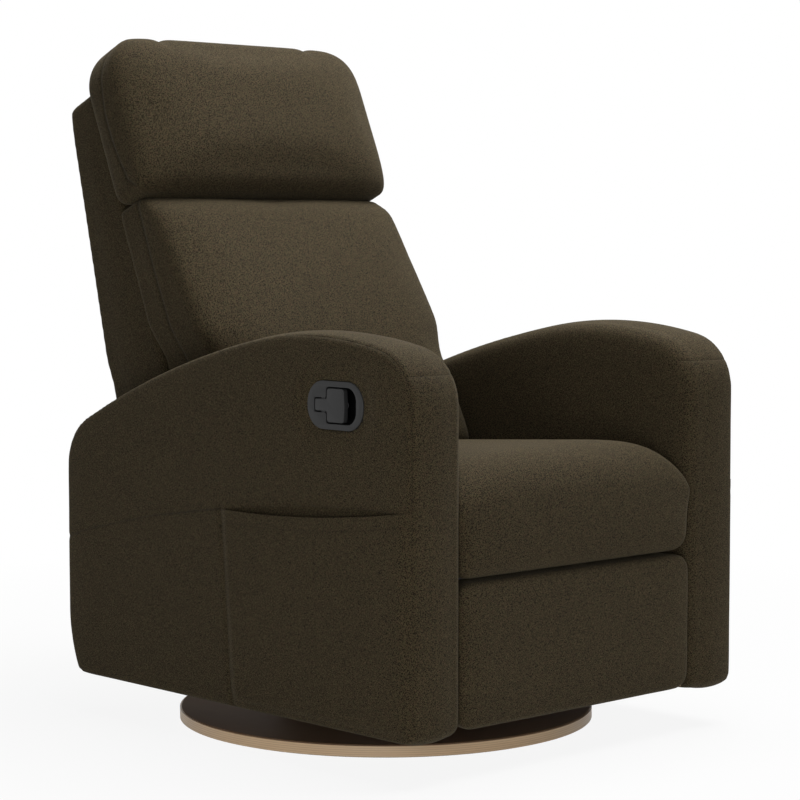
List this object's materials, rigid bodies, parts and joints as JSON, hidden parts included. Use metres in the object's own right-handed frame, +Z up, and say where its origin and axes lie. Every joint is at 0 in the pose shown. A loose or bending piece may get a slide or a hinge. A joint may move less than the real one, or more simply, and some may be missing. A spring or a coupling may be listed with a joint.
{
  "type": "swivel rocker recliner",
  "caption": "Upholstered swivel rocker recliner with curved padded arms, side pockets, flush release lever, fold-out footrest, reclining back and a round plywood base.",
  "frame": {"origin": "on the floor, on the swivel axis, at the middle of the base disc's underside", "axes": "+Z up, -Y the way the sitter faces, +X to the sitter's left; the lever is on the -X side"},
  "size_m": [0.688, 0.9145, 1.0777],
  "materials": {
    "fabric": "woven dark olive-brown upholstery fabric, heathered",
    "felt": "needled black felt",
    "oak_ply": "clear satin lacquer, ply edge showing",
    "dark_plate": "matt dark brown powder coat",
    "zinc_steel": "zinc plated",
    "black_steel": "semi-gloss black paint",
    "spring_steel": "oiled spring wire",
    "nylon": "natural nylon",
    "frame_timber": "planed softwood",
    "board_ply": "raw plywood",
    "black_plastic": "fine moulded texture, matt black"
  },
  "bodies": {
    "base": {"floor_pad": "felt", "base_disc": "oak_ply", "base_top_plate": "dark_plate", "swivel_lower_race": "zinc_steel", "king_bolt": "zinc_steel"},
    "turntable": {"swivel_balls": "zinc_steel", "swivel_upper_race": "zinc_steel", "rocker_stand": "black_steel", "rocker_shaft": "zinc_steel", "rocker_springs": "spring_steel"},
    "seat_frame": {"rocker_hangers": "black_steel", "rocker_bushes": "nylon", "cross_tubes": "black_steel", "chassis_plate_right": "black_steel", "chassis_plate_left": "black_steel", "chassis_pins": "zinc_steel", "front_rail": "frame_timber", "rear_rail": "frame_timber", "seat_springs": "spring_steel", "seat_cushion": "fabric", "arm_bolts": "zinc_steel", "arm_spacers": "black_steel", "arm_front_band_right": "fabric", "arm_top_band_right": "fabric", "arm_outer_board_right": "board_ply", "arm_side_panel_right": "fabric", "arm_inner_board_right": "board_ply", "arm_inner_pad_right": "fabric", "arm_timbers_right": "frame_timber", "pocket_panel_right": "fabric", "arm_front_band_left": "fabric", "arm_top_band_left": "fabric", "arm_outer_board_left": "board_ply", "arm_side_panel_left": "fabric", "arm_inner_board_left": "board_ply", "arm_inner_pad_left": "fabric", "arm_timbers_left": "frame_timber", "pocket_panel_left": "fabric", "lever_bezel": "black_plastic", "lever_pin": "zinc_steel", "lever_spring": "spring_steel"},
    "lever": {"lever_paddle": "black_plastic"},
    "rear_link_pair": {"rear_links": "black_steel", "drive_tube": "black_steel", "knee_pins": "zinc_steel"},
    "front_link_pair": {"front_links": "black_steel", "tail_pins": "zinc_steel"},
    "control_pair": {"control_links": "black_steel"},
    "stay_pair": {"footrest_stays": "black_steel"},
    "footrest": {"footrest_brackets": "black_steel", "footrest_board": "frame_timber", "footrest_pad": "fabric", "footrest_pins": "zinc_steel"},
    "backrest": {"back_frame": "frame_timber", "back_bracket_right": "black_steel", "back_bracket_left": "black_steel", "back_springs": "spring_steel", "back_shell": "fabric", "back_cushion": "fabric", "headrest_pillow": "fabric"}
  },
  "joints": [
    {"name": "swivel", "type": "hinge", "parent": "base", "child": "turntable", "pos_m": [0, 0, 0.028], "axis": [0, 0, 1], "continuous": true},
    {"name": "rock", "type": "hinge", "parent": "turntable", "child": "seat_frame", "pos_m": [0, 0, 0.12], "axis": [-1, 0, 0], "range_deg": [-6, 8], "stiffness_Nm_per_rad": 1200, "deforming": ["rocker_springs"]},
    {"name": "lever_pull", "type": "hinge", "parent": "seat_frame", "child": "lever", "pos_m": [-0.33875, -0.2385, 0.5225], "axis": [0, 0, -1], "range_deg": [0, 35], "stiffness_Nm_per_rad": 0.4},
    {"name": "footrest_open", "type": "hinge", "parent": "seat_frame", "child": "rear_link_pair", "pos_m": [0, -0.09, 0.29], "axis": [-1, 0, 0], "range_deg": [0, 78.1]},
    {"name": "knee", "type": "hinge", "parent": "rear_link_pair", "child": "front_link_pair", "pos_m": [0, -0.05, 0.086], "axis": [-1, 0, 0], "range_deg": [-97, 0]},
    {"name": "control_swing", "type": "hinge", "parent": "seat_frame", "child": "control_pair", "pos_m": [0, -0.0651, 0.2729], "axis": [-1, 0, 0], "range_deg": [0, 79.5]},
    {"name": "stay_swing", "type": "hinge", "parent": "rear_link_pair", "child": "stay_pair", "pos_m": [0, -0.0639, 0.1205], "axis": [-1, 0, 0], "range_deg": [-97, 0]},
    {"name": "footrest_flip", "type": "hinge", "parent": "front_link_pair", "child": "footrest", "pos_m": [0, -0.33, 0.235], "axis": [-1, 0, 0], "range_deg": [0, 107]},
    {"name": "recline", "type": "hinge", "parent": "seat_frame", "child": "backrest", "pos_m": [0, 0.15, 0.3], "axis": [-1, 0, 0], "range_deg": [0, 38]}
  ],
  "couplings": [
    {"joint": "knee", "follows": "footrest_open", "ratio": -1.2359},
    {"joint": "control_swing", "follows": "footrest_open", "ratio": 1.01},
    {"joint": "stay_swing", "follows": "footrest_open", "ratio": -1.2359},
    {"joint": "footrest_flip", "follows": "footrest_open", "ratio": 1.3626}
  ]
}
